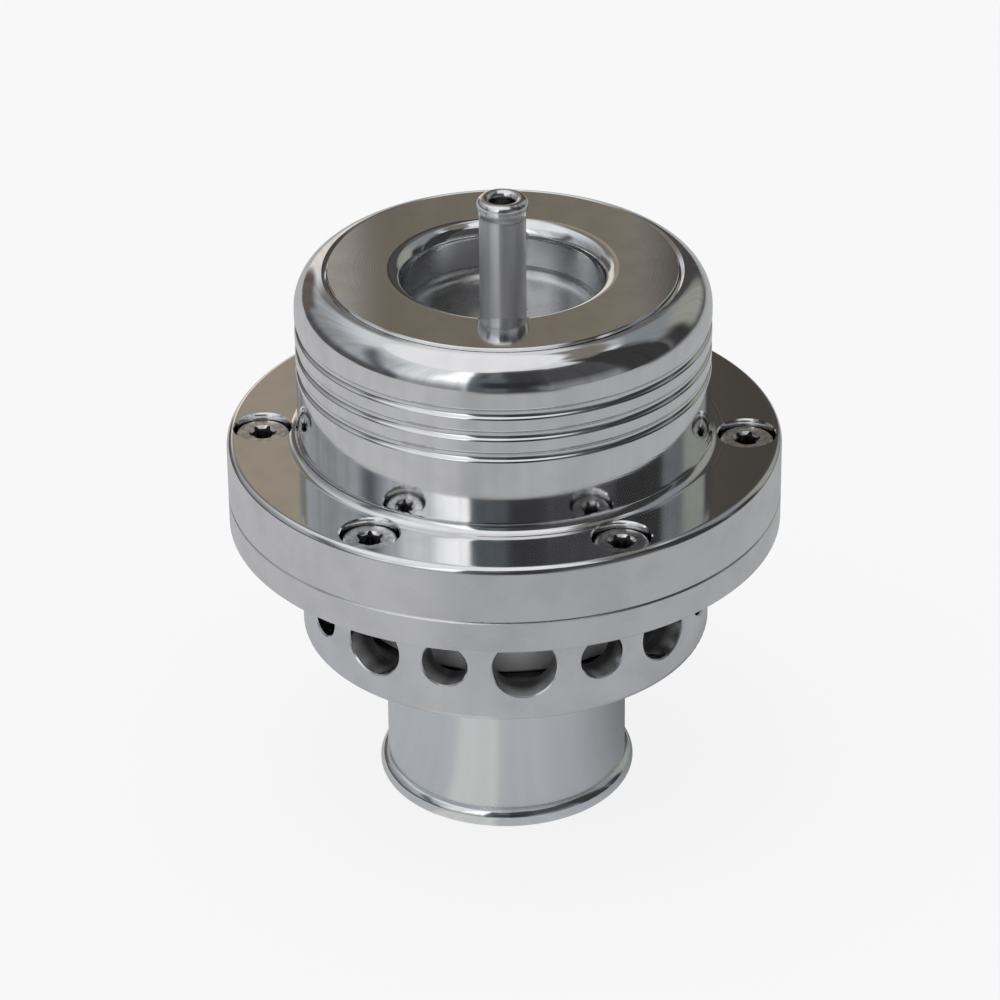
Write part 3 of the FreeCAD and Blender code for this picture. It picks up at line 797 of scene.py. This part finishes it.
def add_room():
    """A dome that only reflections see, with upright streaks in its lower half."""
    bpy.ops.mesh.primitive_uv_sphere_add(segments=64, ring_count=32, radius=ROOM_RADIUS)
    dome = bpy.context.object
    dome.name = "room"
    dome.location.z = ROOM_LEVEL
    dome.rotation_euler.z = CAMERA_AZIMUTH + math.radians(ROOM_SEAM_OPPOSITE)
    show_in_metal_only(dome)
    tree, shader = glow(dome, ROOM_COLOUR)
    x, y, z = split(tree, direction(tree, node(tree, "TexCoord").outputs["Object"]))
    turn = calc(tree, "ADD", bearing(tree, x, y), ROOM_SEAM_OPPOSITE)
    rise = calc(tree, "DEGREES", calc(tree, "ARCSINE", z))
    colour = ROOM_COLOUR
    for left, right, low, high, area_colour, soft_turn, soft_rise, lean in ROOM_AREAS.values():
        mask = area_mask(tree, turn, rise, left, right, low, high, soft_turn, soft_rise, lean)
        colour = blend_colours(tree, mask, colour, area_colour)
    around = direction(tree, pair(tree, x, y))
    upright = noise(tree, around, ROOM_STREAKS_IN_ONE, detail=4.0, roughness=0.75)
    streaks = spread(tree, upright, *ROOM_STREAKS)
    streaks = blend(tree, step_up(tree, rise, *ROOM_STREAKS_BELOW), 1.0, streaks)
    feed(tree, shader.inputs["Color"], scaled(tree, colour, streaks))


def add_soft_box():
    """A round lamp that lights the floor and the dull pieces, and a face that the metal mirrors."""
    turn = CAMERA_AZIMUTH + math.radians(SOFT_BOX_TURN)
    radius = SOFT_BOX_DIAMETER / 2
    place = Vector((math.cos(turn), math.sin(turn), 0)) * SOFT_BOX_SHIFT
    place.z = SOFT_BOX_HEIGHT
    bpy.ops.object.light_add(type="AREA", location=place)
    lamp = bpy.context.object
    lamp.name = "soft_box"
    lamp.data.shape = "DISK"
    lamp.data.size = SOFT_BOX_DIAMETER
    lamp.data.energy = SOFT_BOX_BRIGHTNESS * math.pi * math.pi * radius**2
    lamp.visible_glossy = False
    bpy.ops.mesh.primitive_circle_add(vertices=96, radius=radius, fill_type="NGON", location=place)
    face = bpy.context.object
    face.name = "soft_box_face"
    show_in_metal_only(face)
    glow(face, SOFT_BOX_FACE)


def floor_in_metal(tree):
    """The floor's colour in reflections, painted: paler on the lit side, with a painted stripe of
    light, and a painted shadow and painted shade where things shade it.
    """
    place = node(tree, "TexCoord").outputs["Object"]
    x, y, _ = split(tree, place)
    turn = bearing(tree, x, y)
    distance = vector_length(tree, place)
    near = step_up(tree, distance, *FLOOR_NEAR)
    nearest = step_up(tree, distance, *FLOOR_NEAREST)
    left = between(tree, turn, *FLOOR_LEFT)
    painted_light = all_of(tree, nearest, between(tree, turn, *FLOOR_STRIPE))
    painted_shadow = all_of(tree, nearest, step_up(tree, turn, *FLOOR_SHADOW_TURNS))
    front_far = step_up(tree, distance, *FLOOR_FRONT_FAR)
    right_far = step_up(tree, distance, *FLOOR_RIGHT_FAR)
    front = all_of(tree, between(tree, turn, *FLOOR_FRONT), front_far)
    right = all_of(tree, between(tree, turn, *FLOOR_RIGHT), right_far)
    # Painted light, painted shadow and painted shade on the floor that only reflections see.
    colour = blend_colours(tree, left, FLOOR_IN_METAL, FLOOR_LIT_LEFT_IN_METAL)
    colour = blend_colours(tree, near, colour, FLOOR_NEAR_IN_METAL)
    colour = blend_colours(tree, painted_light, colour, FLOOR_PAINTED_LIGHT_IN_METAL)
    colour = blend_colours(tree, painted_shadow, colour, FLOOR_PAINTED_SHADOW_IN_METAL)
    shade = calc(tree, "MAXIMUM", front, right)
    colour = blend_colours(tree, shade, colour, FLOOR_PAINTED_SHADE_IN_METAL)
    streaks = noise(tree, direction(tree, place), FLOOR_STREAKS_IN_ONE, detail=3.0)
    return scaled(tree, colour, spread(tree, streaks, *FLOOR_STREAKS))


def add_floor():
    """Pale floor, lifted towards white for the camera, and in reflections painted with light and
    shadow.
    """
    bpy.ops.mesh.primitive_plane_add(size=FLOOR_SIZE)
    floor = bpy.context.object
    floor.name = "floor"
    floor.rotation_euler.z = CAMERA_AZIMUTH
    material = bpy.data.materials.new("pale_floor")
    material.use_nodes = True
    tree = material.node_tree
    shader = tree.nodes["Principled BSDF"]
    shader.inputs["Base Color"].default_value = paint(FLOOR_COLOUR)
    shader.inputs["Roughness"].default_value = 0.9
    shader.inputs["Specular IOR Level"].default_value = 0.0
    ray = node(tree, "LightPath").outputs
    mirrored = calc(tree, "MAXIMUM", ray["Is Glossy Ray"], ray["Is Transmission Ray"])
    colour = blend_colours(tree, mirrored, FLOOR_GLOW, floor_in_metal(tree))
    lifted = node(tree, "Emission", {"Color": colour, "Strength": 1.0})
    seen = calc(tree, "ADD", ray["Is Camera Ray"], mirrored)
    share = calc(tree, "MULTIPLY", seen, FLOOR_GLOW_SHARE)
    mixed = node(tree, "MixShader", {0: share, 1: shader.outputs[0], 2: lifted.outputs[0]})
    feed(tree, tree.nodes["Material Output"].inputs["Surface"], mixed.outputs[0])
    floor.data.materials.append(material)


def add_world():
    """White to the camera and in reflections, softer as a light."""
    world = bpy.data.worlds.new("white_room")
    world.use_nodes = True
    scene.world = world
    tree = world.node_tree
    ray = node(tree, "LightPath").outputs
    seen = calc(tree, "MAXIMUM", ray["Is Camera Ray"], ray["Is Glossy Ray"])
    seen = calc(tree, "MAXIMUM", seen, ray["Is Transmission Ray"])
    background = tree.nodes["Background"]
    background.inputs["Color"].default_value = (1, 1, 1, 1)
    feed(tree, background.inputs["Strength"], spread(tree, seen, SKY_AS_LIGHT, SKY_AS_SEEN))


add_camera()
dress_nodes()
add_upper_housing()
add_spring()
add_floor()
add_world()
add_soft_box()
add_room()
